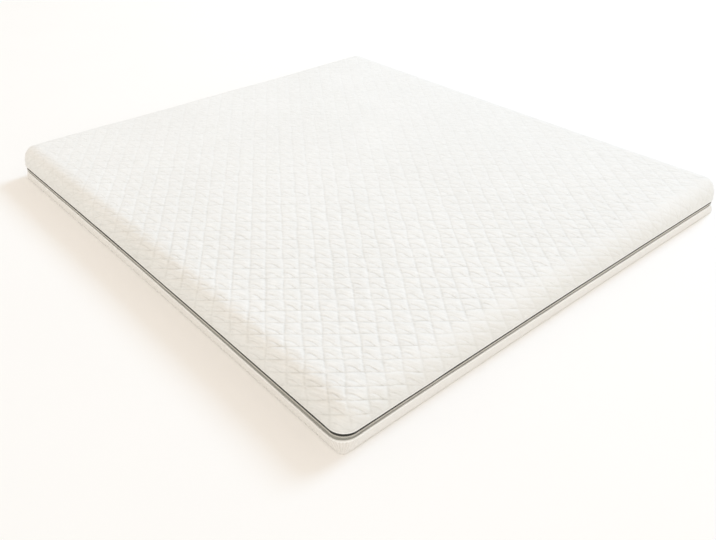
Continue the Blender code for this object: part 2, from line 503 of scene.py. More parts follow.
@dataclass(frozen=True)
class Signal:
    """A number, vector or colour that comes out of a node. Each step that reckons with it adds a node."""

    graph: Graph
    socket: NodeSocket

    def calc(self, operation: str, other: Signal | float = 0.0) -> Signal:
        """Result of one Math node, on this number and on the other one if the operation takes two."""
        return self.graph.put("ShaderNodeMath", {0: self, 1: other}, operation=operation)

    def __add__(self, other: Signal | float) -> Signal:
        """This plus the other."""
        return self.calc("ADD", other)

    def __sub__(self, other: Signal | float) -> Signal:
        """This less the other."""
        return self.calc("SUBTRACT", other)

    def __rsub__(self, other: float) -> Signal:
        """The other less this."""
        return self.graph.put("ShaderNodeMath", {0: other, 1: self}, operation="SUBTRACT")

    def __mul__(self, other: Signal | float) -> Signal:
        """This times the other."""
        return self.calc("MULTIPLY", other)

    def __truediv__(self, other: float) -> Signal:
        """This over the other."""
        return self.calc("DIVIDE", other)

    def ripple(self, turn: float) -> Signal:
        """Absolute sine of this times turn."""
        return (self * turn).calc("SINE").calc("ABSOLUTE")

    def ramp(self, low: float, high: float, start: float = 1.0, end: float = 0.0) -> Signal:
        """Smooth change from start, where this is low or less, to end, where it is high or more."""
        limits = {0: self, 1: low, 2: high, 3: start, 4: end}
        return self.graph.put("ShaderNodeMapRange", limits, interpolation_type="SMOOTHSTEP")


class Graph:
    """A material's nodes, made one after another."""

    def __init__(self, name: str) -> None:
        """Starts a material of that name."""
        self.material = bpy.data.materials.new(name)
        self.material.use_nodes = True
        self.tree = self.material.node_tree

    def fill(self, node: Node, inputs: Inputs) -> None:
        """Fills a node: a signal is linked, and a number or a colour is set.

        Args:
            node: The node.
            inputs: What goes into it.
        """
        for label, value in inputs.items():
            if isinstance(value, Signal):
                self.tree.links.new(value.socket, node.inputs[label])
            else:
                node.inputs[label].default_value = (*value, 1.0) if isinstance(value, tuple) else value

    def put(self, kind: str, inputs: Inputs, output: int | str = 0, **settings: object) -> Signal:
        """Adds a node.

        Args:
            kind: Blender's name of the node.
            inputs: What goes into it.
            output: Name or number of the output to read.
            **settings: Fields of the node.

        Returns:
            What comes out.
        """
        node = self.tree.nodes.new(kind)
        for label, value in settings.items():
            setattr(node, label, value)
        self.fill(node, inputs)
        return Signal(self, node.outputs[output])

    def attribute(self, name: str) -> list[Signal]:
        """The three numbers of a mesh attribute, and last the whole vector."""
        whole = self.put("ShaderNodeAttribute", {}, "Vector", attribute_name=name)
        parts = self.put("ShaderNodeSeparateXYZ", {0: whole}).socket.node.outputs
        return [*(Signal(self, part) for part in parts), whole]

    def noise(self, scale: float, detail: float = 2.0, vector: Signal | None = None) -> Signal:
        """Smooth noise from 0 to 1, scale being its lumps in each metre of the vector or of the object."""
        inputs = {"Vector": vector or self.put("ShaderNodeTexCoord", {}, "Object"), "Scale": scale}
        return self.put("ShaderNodeTexNoise", {**inputs, "Detail": detail, "Roughness": 0.55})

    def blend(self, share: Signal, first: Signal | Colour, second: Signal | Colour) -> Signal:
        """Colour that goes from first to second as share goes from 0 to 1."""
        inputs = {MIX_FACTOR: share, MIX_FIRST: first, MIX_SECOND: second}
        return self.put("ShaderNodeMix", inputs, MIX_RESULT, data_type="RGBA")

    def finished(self, colour: Signal, height: Signal | None, light: dict[str, float]) -> Material:
        """Fills the material's shader.

        Args:
            colour: Base colour.
            height: Relief in metres, or None for a smooth surface.
            light: Plain values of the shader's own inputs.

        Returns:
            The material.
        """
        inputs: Inputs = {"Base Color": colour, **light}
        if height:
            relief = {"Height": height, "Strength": 1.0, "Distance": 1.0}
            inputs["Normal"] = self.put("ShaderNodeBump", relief)
        self.fill(self.tree.nodes["Principled BSDF"], inputs)
        return self.material


@dataclass(frozen=True)
class WovenFinish:
    """A plain, knitted or herringbone cloth that follows its piece's own attribute of places."""

    name: str
    colour: Colour
    shade: Colour  # of the hollows between threads
    weave: Weave
    thread: float  # pitch of the threads, in metres
    relief: float  # depth of the hollows, in metres
    painted_light: Colour | None = None  # painted highlight: lighter colour where the cloth lies on itself at a rolled edge

    def pattern(self, across: Signal, along: Signal) -> Signal:
        """Height of the weave from 0, a hollow, to 1, the crown of a thread.

        Plain: the product of two absolute sines. Knit: a sine across the wales, with loops that lean one way
        and then the other. Herringbone: the same with a zigzag three threads wide.

        Args:
            across: Place along the cloth, in metres.
            along: Distance across it, in metres.

        Returns:
            The height.
        """
        turn = math.pi / self.thread
        if self.weave is Weave.PLAIN:
            return across.ripple(turn) * along.ripple(turn)
        fold = 1.0 if self.weave is Weave.KNIT else 3.0
        lean = along + across.calc("PINGPONG", self.thread * fold) * 0.8
        return lean.ripple(turn) * (across.ripple(turn / fold) * 0.5 + 0.5)

    def make(self) -> Material:
        """Builds the material.

        Returns:
            The material, whose weave reads the attribute "weave".
        """
        graph = Graph(self.name)
        across, along, painted_light, _ = graph.attribute("weave")
        height = self.pattern(across, along)
        worn = graph.noise(9.0).ramp(0.3, 0.7, 0.0, 0.25)
        # painted shade in the gathers' hollows, where the painted light is below 0
        hollows = (painted_light * -1.0).calc("MAXIMUM", 0.0)
        share = (1.0 - height).calc("MAXIMUM", worn) * 0.6 + hollows * 0.9
        cloth = graph.blend(share, self.colour, self.shade)
        # painted highlight on the rolled edges, where the attribute's third number is above 0
        colour = graph.blend(painted_light, cloth, self.painted_light or self.colour)
        return graph.finished(colour, height * self.relief, CLOTH_LIGHT)


@dataclass(frozen=True)
class QuiltedFinish:
    """The knit of the top: off-white loops, and sewn lines that sink into it and take a little shade."""

    name: str
    colour: Colour
    shade: Colour
    painted_light: Colour  # painted highlight: lighter colour on the hem's bead and on the wrinkles' crests
    wale: float = 0.0014
    relief: float = 0.00010
    loop_shade: float = 0.12
    patch_shade: float = 0.10
    line_half_width: float = 0.0048
    line_depth: float = 0.0010
    line_shade: float = 0.36
    along_shade: float = 0.50
    stroke_shade: float = 0.46
    deepest_shade: float = 0.62
    stitch: float = 0.0036
    stitch_width: float = 0.0004
    stitch_height: float = 0.00025
    pucker_scale: float = 120.0
    pucker_depth: float = 0.0012
    pucker_shade: float = 0.10
    wrinkle_length: float = 0.030
    wrinkle_width: float = 0.009
    wrinkle_depth: float = 0.0010
    wrinkle_shade: float = 0.20
    wrinkle_light: float = 0.30
    low: float = 0.40  # share of the quilting's strength that is left down at the hem

    def lines(self, graph: Graph, quilt: Quilt) -> tuple[Signal, Signal]:
        """How shaded by a sewn line a point is, and the stitches along the straight ones.

        The attribute "quilt" counts squares both ways, so a straight line is where a count is whole. The
        curved stroke is where the second share is the quilt's own quarter cosine of the first.

        Args:
            graph: The material's nodes.
            quilt: The quilting.

        Returns:
            The shade and the stitches, each from 0 to 1.
        """
        across, along, _, _ = graph.attribute("quilt")
        u, v = across.calc("FRACT"), along.calc("FRACT")
        far_across = across.calc("PINGPONG", 0.5) * quilt.across_pitch
        far_along = along.calc("PINGPONG", 0.5) * quilt.along_pitch
        width = self.line_half_width
        dip = (u - quilt.dip).calc("ABSOLUTE").ramp(0.0, 0.2, quilt.weakest, quilt.plain)
        strength = dip.calc("MAXIMUM", u.ramp(*quilt.regain, 0.0, 1.0))
        line_across = far_across.ramp(0.0, 1.3 * width) * self.line_shade
        line_along = far_along.ramp(0.0, width) * strength * self.along_shade
        turn = ((u - quilt.stroke_start) * (QUARTER / quilt.stroke_span)).calc("MAXIMUM", 0.0)
        away = (v - turn.calc("COSINE") * quilt.stroke_rise).calc("ABSOLUTE") * quilt.stroke_scale
        there = u.ramp(0.0, 0.2, 0.0, 1.0) * u.ramp(0.72, 0.82)
        curved = away.ramp(0.0, width) * there * self.stroke_shade
        depth = (line_across.calc("MAXIMUM", line_along) + curved).calc("MINIMUM", self.deepest_shade)
        patches = graph.noise(24.0, vector=graph.attribute("cloth")[3]).ramp(0.35, 0.65, 0.55, 1.35)
        beat = math.pi / self.stitch
        first = far_across.ramp(0.0, self.stitch_width) * along.ripple(beat * quilt.along_pitch)
        second = far_along.ramp(0.0, self.stitch_width) * across.ripple(beat * quilt.across_pitch)
        return depth * patches * self.faded(graph, quilt), first.calc("MAXIMUM", second)

    def faded(self, graph: Graph, quilt: Quilt, share: float = 1.0) -> Signal:
        """Strength of the quilting: 1 near the corner (-X, -Y), less at the far one and down the walls."""
        _, along, down, _ = graph.attribute("quilt")
        far = 1.0 - share * quilt.faded
        return along.ramp(*quilt.fade_counts, 1.0, far) * down.ramp(0.0, 1.0, 1.0, self.low)

    def wrinkles(self, graph: Graph, quilt: Quilt) -> Signal:
        """Height of the short slanting puckers between the sewn lines.

        Args:
            graph: The material's nodes.
            quilt: The quilting.

        Returns:
            The height from 0 to 1, a noise drawn out along the slant.
        """
        across, along, _, _ = graph.attribute("cloth")
        slanting = along + across * 0.45
        fields = {0: across / self.wrinkle_length, 1: slanting / self.wrinkle_width}
        off = graph.noise(1.0, 1.0, graph.put("ShaderNodeCombineXYZ", fields)) - 0.5
        return off * self.faded(graph, quilt, 0.3) + 0.5

    def make(self, quilt: Quilt) -> Material:
        """Builds the material.

        Args:
            quilt: The quilting, whose sizes the sewn lines take.

        Returns:
            The material, which reads the attributes "quilt" and "cloth".
        """
        graph = Graph(self.name)
        depth, stitches = self.lines(graph, quilt)
        across, along, painted_light, metres = graph.attribute("cloth")
        knit = WovenFinish(self.name, self.colour, self.shade, Weave.KNIT, self.wale, self.relief)
        loops = knit.pattern(across, along)
        puckers, wrinkles = graph.noise(self.pucker_scale, 3.0, metres), self.wrinkles(graph, quilt)
        patchy = graph.noise(3.0, 3.0).ramp(0.35, 0.65, 0.0, self.patch_shade)
        # painted shade in the hollows of the puckers and wrinkles
        spots = puckers.ramp(0.30, 0.70, self.pucker_shade) + wrinkles.ramp(0.30, 0.50, self.wrinkle_shade)
        share = depth + ((1.0 - loops) * self.loop_shade + patchy + spots)
        # painted highlight on the wrinkles' crests
        crest_highlight = wrinkles.ramp(0.52, 0.70, 0.0, self.wrinkle_light)
        cloth = graph.blend(crest_highlight, graph.blend(share, self.colour, self.shade), self.painted_light)
        height = loops * self.relief - depth * self.line_depth + stitches * self.stitch_height
        height = height + puckers * self.pucker_depth + wrinkles * self.wrinkle_depth
        # painted highlight on the hem's bead
        return graph.finished(graph.blend(painted_light, cloth, self.painted_light), height, CLOTH_LIGHT)


@dataclass(frozen=True)
class NylonFinish:
    """Moulded or drawn nylon: satin, with faint drawing marks."""

    name: str
    colour: Colour
    shade: Colour
    roughness: float = 0.42

    def make(self) -> Material:
        """Builds the material.

        Returns:
            The material.
        """
        graph = Graph(self.name)
        streaks = graph.noise(900.0, 3.0)
        colour = graph.blend(streaks.ramp(0.3, 0.7, 0.0, 1.0), self.colour, self.shade)
        light = {"Roughness": self.roughness, "Specular IOR Level": 0.45}
        return graph.finished(colour, streaks * 0.00004, light)


# Pieces --------------------


@dataclass(frozen=True)
class Quilt:
    """Two families of sewn lines that make squares on the topper's diagonals, and a stroke in each square.

    A count across the squares grows evenly. The count along them grows by a logarithm, because the knit is
    stretched more towards the far corner.
    """

    across_direction: float = math.radians(-36.5)
    across_pitch: float = 0.04885
    across_shift: float = 0.73
    along_direction: float = math.radians(49.0)
    along_pitch: float = 0.06165
    along_stretch: float = 0.176
    along_shift: float = 0.066
    bend: tuple[float, ...] = (0.214, -0.363, 0.547, -0.407, 0.046, 0.241)  # of the lines across, in squares
    stroke_start: float = 0.12
    stroke_span: float = 0.64
    stroke_rise: float = 0.48
    stroke_share: float = 0.75
    line_half_width: float = 0.0052
    weakest: float = 0.72  # strength of a line along the squares, where the stroke crosses over
    plain: float = 0.88  # and elsewhere before the stroke ends
    dip: float = 0.38  # first share where it is weakest
    regain: tuple[float, float] = (0.45, 0.62)  # first shares between which it gets its full strength back
    puff: float = 0.0025
    swells: Table = (
        (0.24, 0.22, 0.12, 0.0011),
        (0.86, 0.20, 0.12, 0.0013),
        (0.56, 0.68, 0.30, 0.0005),
    )  # both shares, radius in squares and height in metres of the fullest spots of a square
    faded: float = 0.76  # share of the relief that is gone at the far corner, where the knit is stretched
    fade_counts: tuple[float, float] = (-17.0, 8.0)  # counts along between which it goes
    stray: float = 0.0011  # how far a sewn line wavers to each side
    uneven: float = 0.28  # how much fuller or flatter than the mean a square is

    @property
    def stroke_scale(self) -> float:
        """Metres across the stroke for each second share, the stroke being aslant."""
        return 0.75 * self.along_pitch

    @property
    def directions(self) -> Array:
        """The two directions of count, as rows of (x, y)."""
        angles = np.array([self.across_direction, self.along_direction])
        return np.stack([np.cos(angles), np.sin(angles)], axis=1)

    def counts(self, points: Array) -> Array:
        """Counts of squares at points of the flat cloth, whole on the sewn lines.

        Across: distance over pitch, less the shift, plus the bend. Along: the logarithm of 1 plus stretch
        times distance, over stretch times pitch, less the shift.

        Args:
            points: Rows of (x, y) on the cloth laid flat.

        Returns:
            Rows of the two counts.
        """
        far = (points - self.strayed(points)) @ self.directions.T
        across = far[:, 0] / self.across_pitch - self.across_shift + self.bent(points)
        grown = np.log1p(self.along_stretch * far[:, 1])
        return np.stack([across, grown / (self.along_stretch * self.along_pitch) - self.along_shift], axis=1)

    def points(self, counts: Array) -> Array:
        """The reverse of counts: eight rounds, each with the bend and the wavering of the one before.

        Args:
            counts: Rows of the two counts.

        Returns:
            Rows of (x, y) on the cloth laid flat.
        """
        grown = self.along_stretch * self.along_pitch * (counts[:, 1] + self.along_shift)
        along = np.expm1(grown) / self.along_stretch
        back = np.linalg.inv(self.directions).T
        flat = np.zeros_like(counts)
        for _ in range(8):
            across = (counts[:, 0] + self.across_shift - self.bent(flat)) * self.across_pitch
            flat = np.stack([across, along], axis=1) @ back + self.strayed(flat)
        return flat

    def bent(self, flat: Array) -> Array:
        """How many squares the lines across are off straight ones: bend times 1, x, y, x^2, xy and y^2."""
        x, y = flat.T
        return np.stack([np.ones_like(x), x, y, x * x, x * y, y * y], axis=1) @ np.array(self.bend)

    def strayed(self, flat: Array) -> Array:
        """How far sewn lines waver, by three sines each way.

        Args:
            flat: Rows of (x, y) on the cloth laid flat.

        Returns:
            Rows of (x, y). The sines' waves are 9 to 14 cm long.
        """
        turns = flat @ np.array([[43.0, 17.0], [-21.0, 48.0], [58.0, -39.0]]).T
        sideways = np.sin(turns + np.array([0.3, 2.1, 4.0])).sum(axis=1)
        lengthways = np.sin(1.13 * turns + np.array([5.1, 1.2, 3.3])).sum(axis=1)
        return self.stray * np.stack([sideways, lengthways], axis=1)

    def stroke(self, share: Array) -> Array:
        """Height of the curved stroke in its square: a quarter cosine wave that falls from left to right."""
        turn = np.clip((share - self.stroke_start) / self.stroke_span, 0.0, 1.0)
        return self.stroke_rise * np.cos(QUARTER * turn)

    def line_strength(self, share: Array) -> Array:
        """How deep a line along is sewn at a first share: a bell-shaped dip, and full after the stroke."""
        rise = (1.0 - self.plain) * (smooth_step(*self.regain, share) - smooth_step(0.92, 1.0, share) * 0.3)
        return self.plain + rise - (self.plain - self.weakest) * bell((share - self.dip) / 0.12)

    def relief(self, counts: Array) -> Array:
        """Height of the quilted knit above its sewn lines.

        A pad with a flat top: puff times one minus a bell curve of the distance from each straight line,
        times one minus a share of a bell curve of the distance from the stroke. The full spots are added as
        bell curves, and all of it is less towards the far corner.

        Args:
            counts: Rows of the two counts.

        Returns:
            One height for each point, in metres.
        """
        shares = counts - np.floor(counts)
        u, v = shares.T
        away = np.abs(counts - np.round(counts)) * np.array([self.across_pitch, self.along_pitch])
        strengths = np.column_stack([np.ones(len(counts)), self.line_strength(u)])
        pads = (1.0 - bell(away / self.line_half_width) * strengths).prod(axis=1)
        off_stroke = (v - self.stroke(u)) * self.stroke_scale
        there = smooth_step(0.0, 0.16, u) * (1.0 - smooth_step(0.70, 0.82, u))
        sunk = self.stroke_share * there * bell(off_stroke / self.line_half_width)
        full = sum(high * bell((u - x) / size) * bell((v - y) / size) for x, y, size, high in self.swells)
        turns = counts @ np.array([[2.3, -1.9], [1.7, 3.1]])
        fuller = 1.0 + self.uneven * np.sin(turns[:, 0] + 0.5) * np.sin(turns[:, 1] + 1.9)
        evenness = 1.0 - self.faded * smooth_step(*self.fade_counts, counts[:, 1])
        return (self.puff * fuller + full) * pads * (1.0 - sunk) * evenness


@dataclass(frozen=True)
class Slant:
    """How the sewn lines run on over the shoulder: in one line with the top's, seen from off the corner.

    The cloth is pulled askew like this at the corner (-X, -Y) and along the two sides that meet there. It
    dies out towards their far ends, and the other sides have the cloth folded straight down.
    """

    full: float = 1.0  # distance from the corner up to which it is full, in metres
    none: float = 1.75  # and from which there is none

    def share(self, place: Array) -> Array:
        """How far the cloth is pulled askew at places round the outline, from 0 to 1."""
        corner = PLAN.runs[:4].sum() + PLAN.runs[4] / 2
        return 1.0 - smooth_step(self.full, self.none, np.abs(PLAN.within(place - corner)))

    def looks(self, flat: Array, height: Array) -> Array:
        """Where points lower down look to be on the top's plane: each is moved along its line to the eye."""
        eye = np.array(EYE)
        return eye[:2] + (flat - eye[:2]) * ((eye[2] - LEVELS.top) / (eye[2] - height))[:, None]


@dataclass
class QuiltedTop:
    """The cover's upper half, filled: a quilted sheet over the top down to the hem, then neck and base."""

    quilt: Quilt = Quilt()
    slant: Slant = Slant()
    shoulder_height: float = 0.070
    shoulder_depth: float = 0.060
    crown: float = 0.003
    bead: Table = (
        (0.0, 0.0085), (-0.0008, 0.0058), (-0.0005, 0.0010), (0.0053, 0.0),
    )  # the hem, rolled to a flat bead: inset, height above its lower edge
    sink: float = 0.0015  # of the sewn lines below the plain section, so that the puffs stand out as much
    hem_fade: float = 0.007  # of the quilting, where the hem's seam flattens it
    across_lines: tuple[float, ...] = (0.0, 0.06, 0.25, 0.44, 0.62, 0.80, 0.94)  # of the grid, first shares
    swell: float = 0.0009  # of the filling's slow unevenness
    rim_points: int = 60
    calmed: float = 0.38  # share of the relief that is gone on the side -Y, where the knit is drawn tighter
    spare: float = 0.09  # of the flat cloth past the plan
    overrun: float = 0.05  # of the cloth past the hem that is still settled
    lift_reach: float = 0.03  # of the wall above the hem that is lifted with it
    edge_share: float = 0.12  # of a grid edge that the cut line keeps off its ends
    wall_mark: float = 0.67  # how far the sewn lines' shade has faded at the hem

    @property
    def core(self) -> Array:
        """Half the sides of the rectangle that the corners' centres on the flat top's rim make."""
        return PLAN.half - self.shoulder_depth - PLAN.tightest

    def profile(self) -> tuple[Array, Array, Array]:
        """The section from the rim of the flat top to the hem's bead: a quarter ellipse and a wall.

        Returns:
            Distances along the cloth, insets and heights, each an array.
        """
        angle = np.linspace(QUARTER, 0.0, self.rim_points)
        height = LEVELS.top - self.shoulder_height * (1.0 - np.sin(angle))
        inset = np.append(self.shoulder_depth * (1.0 - np.cos(angle)), self.bead[0][0])
        height = np.append(height, LEVELS.hem + self.bead[0][1])
        travel = np.concatenate([[0.0], np.cumsum(np.hypot(np.diff(inset), np.diff(height)))])
        return travel, inset, height

    def along_lines(self, share: Array) -> Array:
        """Second shares of the grid's lines in a square: they bend to follow the stroke.

        Args:
            share: First shares, from 0 to 1.

        Returns:
            One row of shares for each line.
        """
        first, last, beside = 0.05, 0.95, 0.08
        back = smooth_step(0.70, 1.0, share)
        wave = np.maximum(self.quilt.stroke(share), 0.13) * (1 - back) + self.quilt.stroke_rise * back
        before = wave - np.minimum(beside, (wave - first) * 0.4)
        after = wave + beside
        bending = [(wave + first) * 0.5, before, wave, after, after * 0.45 + last * 0.55]
        low, high = (np.outer(rises, np.ones_like(share)) for rises in ((0.0, first), (0.87, last)))
        return np.concatenate([low, bending, high])

    def lattice(self) -> tuple[Array, tuple[int, int]]:
        """Counts of every point of the grid that covers the cloth, square after square.

        Returns:
            Rows of the two counts, and the grid's size.
        """
        corners = (PLAN.half + self.spare) * np.array([(-1, -1), (-1, 1), (1, -1), (1, 1)])
        ends = self.quilt.counts(corners)
        low, high = np.floor(ends.min(axis=0)), np.ceil(ends.max(axis=0))
        share = np.array(self.across_lines)
        whole_across, whole_along = np.arange(low[0], high[0]), np.arange(low[1], high[1])
        across = (whole_across[:, None] + share).reshape(-1)
        rises = np.tile(self.along_lines(share), (1, len(whole_across)))
        along = (whole_along[:, None, None] + rises).reshape(-1, len(across))
        return np.stack([np.broadcast_to(across, along.shape), along], axis=-1).reshape(-1, 2), along.shape

    def laid_flat(self, place: Array, fall: Array) -> Array:
        """Where points of the wrapped cloth lie on the flat cloth.

        Folded straight, a point is as far past the rim as the section is long, and a corner opens like a
        fan. Askew, it is where the eye sees it on the top. The two are mixed by the slant's share.

        Args:
            place: Distances along the outline.
            fall: Distances along the section from the rim. The wall goes on below the hem as it is.

        Returns:
            Rows of (x, y) on the flat cloth.
        """
        travel, insets, heights = (part[:-1] for part in self.profile())
        lengths = np.append(travel, travel[-1] + 1.0)
        inset = np.interp(fall, lengths, np.append(insets, insets[-1]))
        height = np.interp(fall, lengths, np.append(heights, heights[-1] - 1.0))
        level, _ = PLAN.at(place, inset, draw_in=0.0)
        straight, _ = PLAN.at(place, self.shoulder_depth - fall, PLAN.tightest + fall, draw_in=0.0)
        askew = self.slant.share(place)[:, None]
        return askew * self.slant.looks(level, height) + (1.0 - askew) * straight

    def past_rim(self, cloth: Array) -> Array:
        """How far points of the flat cloth are past the rim of the flat top, or minus that inside it."""
        return np.linalg.norm(cloth - np.clip(cloth, -self.core, self.core), axis=1) - PLAN.tightest

    def settle(self, cloth: Array) -> tuple[Array, Array]:
        """The place and the fall of points of the flat cloth past the rim, by Newton's rule.

        Args:
            cloth: Rows of (x, y) on the cloth laid flat.

        Returns:
            Distances along the outline, and distances along the section from the rim.
        """
        place, fall = self.place_of(cloth), self.past_rim(cloth)
        most = self.profile()[0][-1] + self.overrun
        step, least, longest, deepest = 1e-5, 1e-9, 0.06, 0.03
        for ease in [1.0] * 16 + [0.6] * 8:
            here = self.laid_flat(place, fall)
            by_place = (self.laid_flat(place + step, fall) - here) / step
            by_fall = (self.laid_flat(place, fall + step) - here) / step
            miss = here - cloth
            scale = by_place[:, 0] * by_fall[:, 1] - by_place[:, 1] * by_fall[:, 0]
            scale = np.where(np.abs(scale) < least, least, scale)
            along = (miss[:, 0] * by_fall[:, 1] - miss[:, 1] * by_fall[:, 0]) / scale
            down = (by_place[:, 0] * miss[:, 1] - by_place[:, 1] * miss[:, 0]) / scale
            place = place - np.clip(ease * along, -longest, longest)
            fall = np.clip(fall - np.clip(ease * down, -deepest, deepest), 0.0, most)
        miss = np.linalg.norm(self.laid_flat(place, fall) - cloth, axis=1)[fall < most]
        log.info("settled %d points, %d off by more than 0.5 mm", len(cloth), (miss > MILLIMETRE / 2).sum())
        return place, fall

    def place_of(self, cloth: Array) -> Array:
        """Place on the outline of points past the rim: the share of the way along the run they belong to.

        Args:
            cloth: Rows of (x, y) on the cloth laid flat.

        Returns:
            Distances along the widest outline.
        """
        nearest = np.clip(cloth, -self.core, self.core)
        x, y = (cloth - nearest).T
        starts = starts_of(PLAN.runs)
        quarters = np.mod(np.arctan2(y, x), 2 * math.pi) / QUARTER
        corner = np.floor(quarters + 1e-9)
        corner_place = starts[(2 * corner).astype(int) % 8] + (quarters - corner) * PLAN.runs[0]
        side = np.round(quarters).astype(int) % 4
        run = (2 * side - 1) % 8
        along, across = nearest[:, 1], nearest[:, 0]
        travels = np.stack([along, -across, -along, across])[side, np.arange(len(cloth))]
        side_place = starts[run] + (travels / self.core[(side + 1) % 2] + 1) / 2 * PLAN.runs[run]
        return np.where((np.abs(x) > 1e-9) & (np.abs(y) > 1e-9), corner_place, side_place)

    def wrap(self, cloth: Array, counts: Array) -> tuple[Array, Array, Array]:
        """Lays points of the flat cloth over the block.

        On the flat top a point keeps its place, but for the drawn-in sides and the crown. Past the rim it
        goes to its place and fall. The relief and the slow swell stand along the normal.

        Args:
            cloth: Rows of (x, y) on the cloth laid flat.
            counts: Rows of the two counts at the same points.

        Returns:
            The points, rows of (x, y, z), each one's distance past the rim and its place.
        """
        past = self.past_rim(cloth)
        over = past > 0
        place = np.zeros(len(cloth))
        place[over], past[over] = self.settle(cloth[over])
        travel, insets, heights = self.profile()
        end = travel[-1]
        fall = np.clip(past, 0.0, end - 0.8 * MILLIMETRE)
        shares = cloth / (self.core + PLAN.tightest)
        bow = np.cos(QUARTER * np.clip(cloth / self.core, -1.0, 1.0))[:, ::-1]
        flat = cloth - np.sign(cloth) * PLAN.draw_in * bow * shares**2
        outward = np.zeros_like(flat)
        flat[over], outward[over] = PLAN.at(place[over], np.interp(fall[over], travel, insets))
        crown = self.crown * np.clip(1.0 - shares**2, 0.0, None).prod(axis=1)
        height = np.interp(fall, travel, heights) + np.where(over, 0.0, crown)
        height += LEVELS.hem_rise(flat) * smooth_step(end - self.lift_reach, end, fall)
        inward, up = (np.interp(fall, travel, np.gradient(part, travel)) for part in (insets, heights))
        upward, sideways = np.where(over, -inward, 1.0), np.where(over, -up, 0.0)
        size = np.maximum(np.hypot(upward, sideways), 1e-6)
        fade = 1.0 - smooth_step(end - self.hem_fade, end, past)
        fade *= 1.0 - self.calmed * self.calm(place, past)
        swell = np.sin(cloth[:, 0] * 9.1 + 1.3) * np.sin(cloth[:, 1] * 7.3 + 0.4)
        swell += 0.6 * np.sin(cloth @ np.array([17.0, 11.0])) * np.sin(cloth @ np.array([-13.0, 19.0]) + 2.0)
        raised = (self.quilt.relief(counts) - self.sink + self.swell * swell) * fade / size
        points = np.column_stack([flat + outward * (raised * sideways)[:, None], height + raised * upward])
        return points, past, place

    @staticmethod
    def calm(place: Array, past: Array) -> Array:
        """How much tighter than elsewhere the knit is drawn, over the shoulder of the side -Y.

        Args:
            place: Distances along the widest outline.
            past: Distances past the rim of the flat top.

        Returns:
            Shares from 0 to 1, growing from the corner (-X, -Y) on and over the first 3 cm past the rim.
        """
        flat, outward = PLAN.at(place, 0.0)
        side = smooth_step(0.75, 1.0, -outward[:, 1]) * smooth_step(-1.05, -0.35, flat[:, 0])
        return side * smooth_step(0.0, 0.03, past)

    def build(self) -> Object:
        """Builds the piece: the quilted sheet, its rim laid along the hem, and rings from there to the base.

        Returns:
            The object. Its attribute "quilt" holds both counts and how far down the wall a point is, "cloth"
            the metres along both directions and the painted highlight of the hem's bead.
        """
        counts, size = self.lattice()
        cloth = self.quilt.points(counts)
        points, past, place = self.wrap(cloth, counts)
        travel = self.profile()[0][-1]
        quads, triangles, crossed = trim(grid_quads(*size), past < travel)
        stays, goes = crossed.T
        share = (travel - past[stays]) / (past[goes] - past[stays])
        share = np.clip(share, self.edge_share, 1.0 - self.edge_share)
        rim = self.spaced(place[stays] + share * PLAN.within(place[goes] - place[stays]))
        rim_cloth = self.laid_flat(rim, np.full(len(rim), travel))
        rings = [self.ring(rim, inset, rise) for inset, rise in (*self.bead, (LEVELS.neck_inset, None))]
        used = np.unique(np.concatenate([quads.ravel(), triangles.ravel()]))
        used = used[used < len(points)]
        below = len(used) + np.arange(len(rings) * len(rim)).reshape(len(rings), -1)
        renumbered = np.zeros(len(points) + len(rim), int)
        renumbered[used] = np.arange(len(used))
        renumbered[len(points) :] = below[0]
        everything = np.concatenate([points[used], *rings, [rings[-1].mean(axis=0)]])
        base = fan(len(everything) - 1, below[-1, ::-1])
        down = self.wall_mark * smooth_step(0.02, travel, past[used])
        down = np.maximum(down, self.calm(place[used], past[used]))
        marks, metres = np.zeros((2, len(everything), 3))
        marks[:-1, :2] = np.concatenate([counts[used], *[self.quilt.counts(rim_cloth)] * len(rings)])
        marks[:-1, 2] = np.concatenate([down, np.ones(below.size)])
        metres[:-1, :2] = np.concatenate([cloth[used], *[rim_cloth] * len(rings)]) @ self.quilt.directions.T
        # painted highlight on the hem's bead
        metres[below[1, 0] : -1, 2] = 1.0
        quads = np.concatenate([renumbered[quads], ring_quads(below[::-1])])
        triangles = np.concatenate([renumbered[triangles], base])
        return mesh_object("quilted_top", everything, quads, triangles, quilt=marks, cloth=metres)

    @staticmethod
    def spaced(place: Array) -> Array:
        """Places in order round the outline, each made at least 0.2 mm further on than the one before."""
        least = 0.2 * MILLIMETRE * np.arange(len(place))
        return np.maximum.accumulate(np.unwrap(place, period=PLAN.perimeter) - least) + least

    @staticmethod
    def ring(place: Array, inset: float, rise: float | None) -> Array:
        """A ring of points at the hem, or at the base of the filling.

        Args:
            place: Distances along the outline.
            inset: Distance inside the widest outline.
            rise: Height above the hem's lower edge, or None for the base.

        Returns:
            Rows of (x, y, z).
        """
        flat = PLAN.at(place, inset)[0]
        base = np.full(len(flat), LEVELS.neck_bottom + GAP)
        return np.column_stack([flat, base if rise is None else LEVELS.hem_at(flat, place) + rise])


